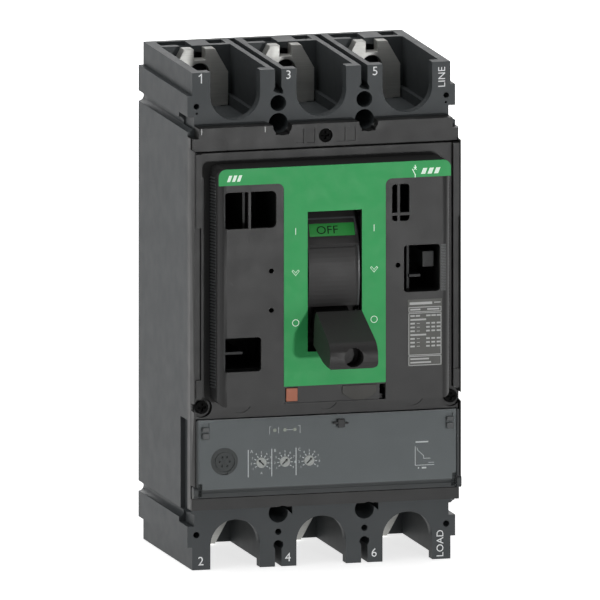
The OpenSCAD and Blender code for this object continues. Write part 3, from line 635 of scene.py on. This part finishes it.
def on_curtain(x, radius, angle):
    """The point at a distance from the pivot's axis and at an angle above the front."""
    return Vector((x, TOGGLE_PIVOT.y - radius * math.cos(angle), TOGGLE_PIVOT.z + radius * math.sin(angle)))


def round_curtain(degrees):
    """Wraps print made round z = 0 onto a label of the curtain, at an angle above the front."""

    def bend(p):
        return on_curtain(p.x, LABEL_R * MM - p.y, math.radians(degrees) + p.z / (LABEL_R * MM))

    return bend


def print_position_words():
    """OFF and ON on the labels of the curtain."""
    for word, x, degrees in (("OFF", -2.4, 22.8), ("ON", 0, -65.2)):
        ink = Print(0)
        ink.text(word, x, 0, 4.1, stretch=1.12)
        ink.piece(f"print_{word.lower()}", "toggle", "dark_ink", round_curtain(degrees))


def curtain_strip(bm, x0, x1, low, high, proud, steps):
    """A thin curved plate on the curtain, between two angles above the front, in degrees."""
    inner, outer = (CURTAIN_R - 0.4) * MM, (CURTAIN_R + proud) * MM
    rows = []
    for i in range(steps + 1):
        a = math.radians(low + (high - low) * i / steps)
        rows.append([bm.verts.new(on_curtain(x * MM, r, a))
                     for x, r in ((x0, inner), (x0, outer), (x1, outer), (x1, inner))])
    join_rings(bm, rows)


def make_curtain_plate():
    """The thin plate between the OFF label and the handle."""
    plate = bmesh.new()
    curtain_strip(plate, -13.3, 11.1, -14.0, 13.4, 0.25, 12)
    finish_piece(plate, "curtain_plate", "toggle", "toggle_plastic")


def make_curtain_highlight_beads():
    """Thin beads beside the plate, above the OFF label and at its right, whose lighter plastic paints the
    highlight along the curtain plate's edges.
    """
    beads = bmesh.new()
    curtain_strip(beads, 12.5, 13.2, -15.6, 14.4, 0.2, 12)
    curtain_strip(beads, -13.3, 12.5, 28.2, 29.0, 0.2, 2)
    curtain_strip(beads, 11.95, 12.5, 20.0, 28.2, 0.2, 4)
    finish_piece(beads, "curtain_beads", "toggle", "smoke_plastic")


# Ribs of the raised panel


def make_window_ribs():
    """Fine ribs on the front of the panel, beside the lower right window."""
    ribs = Print(front_of("accessory_cover"), 0.18)
    for i in range(30):
        z = 15.2 + 0.8 * i
        ribs.bar((55.5, z), (58.1, z), 0.42)
    # The ribs' lighter plastic partly paints the soft highlight of the panel's rounded right edge
    ribs.piece("window_ribs", "case", "smoke_plastic")


def grip_strip(name, side):
    """Slanted ribs with round backs on one side of the panel; side is -1 at the left and 1 at the right."""
    panel_side, proud, slant = 60.7, 0.6, 0.5
    y0, y1 = -106.4, -116.6
    pitch, low, high = 1.6, -31, 77
    arc_steps = 4
    strip = bmesh.new()
    for i in range(math.ceil((high - low) / pitch)):
        z = low + pitch * i
        ends = []
        for y, rise in ((y0, -slant), (y1, slant)):
            end = []
            for k in range(arc_steps + 1):
                t = k / arc_steps
                x = side * (panel_side + math.sin(math.pi * t) * proud)
                end.append(strip.verts.new((x * MM, y * MM, (z + rise + (t - 0.5) * pitch * 0.55) * MM)))
            strip.faces.new(end)
            ends.append(end)
        for k in range(arc_steps):
            strip.faces.new((ends[0][k], ends[0][k + 1], ends[1][k + 1], ends[1][k]))
        strip.faces.new((ends[0][0], ends[1][0], ends[1][-1], ends[0][-1]))
    # The ribs' lighter plastic partly paints the bright dashes where they catch the light
    finish_piece(strip, name, "case", "smoke_plastic")


# Catches of the clear cover


def block(bm, low, high):
    """A box between two corners, in mm, with small chamfers on its front edges."""
    x0, y0, z0 = low
    x1, y1, z1 = high
    c = min(0.25, (x1 - x0) / 4, (z1 - z0) / 4)
    outlines = (
        [(x0 + c, y0, z0 + c), (x1 - c, y0, z0 + c), (x1 - c, y0, z1 - c), (x0 + c, y0, z1 - c)],
        [(x0, y0 + c, z0), (x1, y0 + c, z0), (x1, y0 + c, z1), (x0, y0 + c, z1)],
        [(x0, y1, z0), (x1, y1, z0), (x1, y1, z1), (x0, y1, z1)],
    )
    join_rings(bm, [[bm.verts.new([v * MM for v in point]) for point in outline] for outline in outlines])


COVER_FRONT = -108.7  # just under the front of the clear cover, in mm


def make_cover_latches():
    """Two snap latches, each of two steps."""
    latches = bmesh.new()
    for x in (-65.6, 62.0):
        block(latches, (x, -109.3, -58.4), (x + 3.6, COVER_FRONT, -55.2))
        block(latches, (x, -109.1, -54.6), (x + 3.6, COVER_FRONT, -52.2))
    finish_piece(latches, "cover_latches", "trip_cover", "smoke_plastic")


def make_seal_catch():
    """The catch in the middle of the cover's upper edge, which takes a seal."""
    catch = bmesh.new()
    block(catch, (2.6, -109.5, -53.4), (5.4, COVER_FRONT, -52.2))
    block(catch, (5.0, -109.8, -55.2), (8.6, COVER_FRONT, -50.8))
    block(catch, (8.2, -109.4, -53.6), (10.6, COVER_FRONT, -52.6))
    finish_piece(catch, "cover_seal_catch", "trip_cover", "shadow_plastic")


print_post_words()
print_band_ticks()
print_label_signs()
print_rating_table()
print_trip_scales()
paint_dial_slot_shade()
print_position_words()
make_curtain_plate()
make_curtain_highlight_beads()
make_window_ribs()
grip_strip("grip_strip_left", -1)
grip_strip("grip_strip_right", 1)
make_cover_latches()
make_seal_catch()


# Camera, floor and lights


def add_camera(azimuth, elevation, view_size, middle_right, middle_up, distance):
    """A camera without perspective; the middle of its view is given in mm along its own axes."""
    turn, tilt = math.radians(azimuth), math.radians(elevation)
    right = Vector((math.cos(turn), math.sin(turn), 0))
    back = Vector((math.sin(turn) * math.cos(tilt), -math.cos(turn) * math.cos(tilt), math.sin(tilt)))
    up = back.cross(right)
    data = bpy.data.cameras.new("camera")
    data.type = "ORTHO"
    data.ortho_scale = view_size
    data.clip_end = 20
    camera = bpy.data.objects.new("camera", data)
    scene.collection.objects.link(camera)
    camera.location = middle_right * MM * right + middle_up * MM * up + distance * back
    camera.rotation_mode = "QUATERNION"
    camera.rotation_quaternion = Matrix((right, up, back)).transposed().to_quaternion()
    scene.camera = camera


def add_floor(reach, gap):
    """A plain pale floor, that far below the object."""
    mesh = bpy.data.meshes.new("floor")
    mesh.from_pydata([(-reach, -reach, 0), (reach, -reach, 0), (reach, reach, 0), (-reach, reach, 0)], [],
                     [(0, 1, 2, 3)])
    floor = bpy.data.objects.new("floor", mesh)
    scene.collection.objects.link(floor)
    floor.location.z = cad_low.z - gap
    b = Builder("floor")
    shade = b.blend(b.noise(3, 2), (0.93, 0.93, 0.93, 1), (0.96, 0.96, 0.96, 1))
    b.principled(shade, b.spread(b.noise(40, 2), 0.75, 0.85), b.bump(b.noise(300, 2), 0.0001, 0.1),
                 Specular_IOR_Level=0.1, Emission_Color=(1, 1, 1, 1), Emission_Strength=0.75)
    floor.data.materials.append(b.material)
    floor.visible_diffuse = False


def add_world(strength):
    """Even white light from all round."""
    world = bpy.data.worlds.new("studio")
    scene.world = world
    world.use_nodes = True
    background = world.node_tree.nodes["Background"]
    background.inputs["Color"].default_value = (1, 1, 1, 1)
    background.inputs["Strength"].default_value = strength


def soft_box(name, direction, distance, size, power):
    """A rectangular light that looks at the object from a direction."""
    data = bpy.data.lights.new(name, "AREA")
    data.shape = "RECTANGLE"
    data.size, data.size_y = size
    data.energy = power
    lamp = bpy.data.objects.new(name, data)
    scene.collection.objects.link(lamp)
    lamp.location = Vector(direction).normalized() * distance
    lamp.rotation_mode = "QUATERNION"
    lamp.rotation_quaternion = Vector(direction).to_track_quat("Z", "Y")


add_camera(azimuth=-15, elevation=10, view_size=0.303, middle_right=13.94, middle_up=-8.03, distance=1.5)
add_floor(reach=6, gap=0.2 * MM)
add_world(0.13)
soft_box("left_box", (-1, -0.25, 0.15), 1.6, (1.6, 1.6), 7.5)
soft_box("top_box", (-0.08, -0.1, 1), 1.8, (2.2, 2.2), 14)
soft_box("key", (0.2, -1, -0.03), 1.3, (0.05, 0.05), 3.8)
soft_box("right_strip", (0.62, -0.75, -0.12), 1.8, (0.3, 1.6), 4)
soft_box("right_rim", (1, 0.2, -0.1), 1.8, (0.5, 1.6), 7)
soft_box("back_box", (0.25, 0.95, 0.2), 1.8, (1.6, 0.8), 11)

scene.view_settings.view_transform = "Standard"
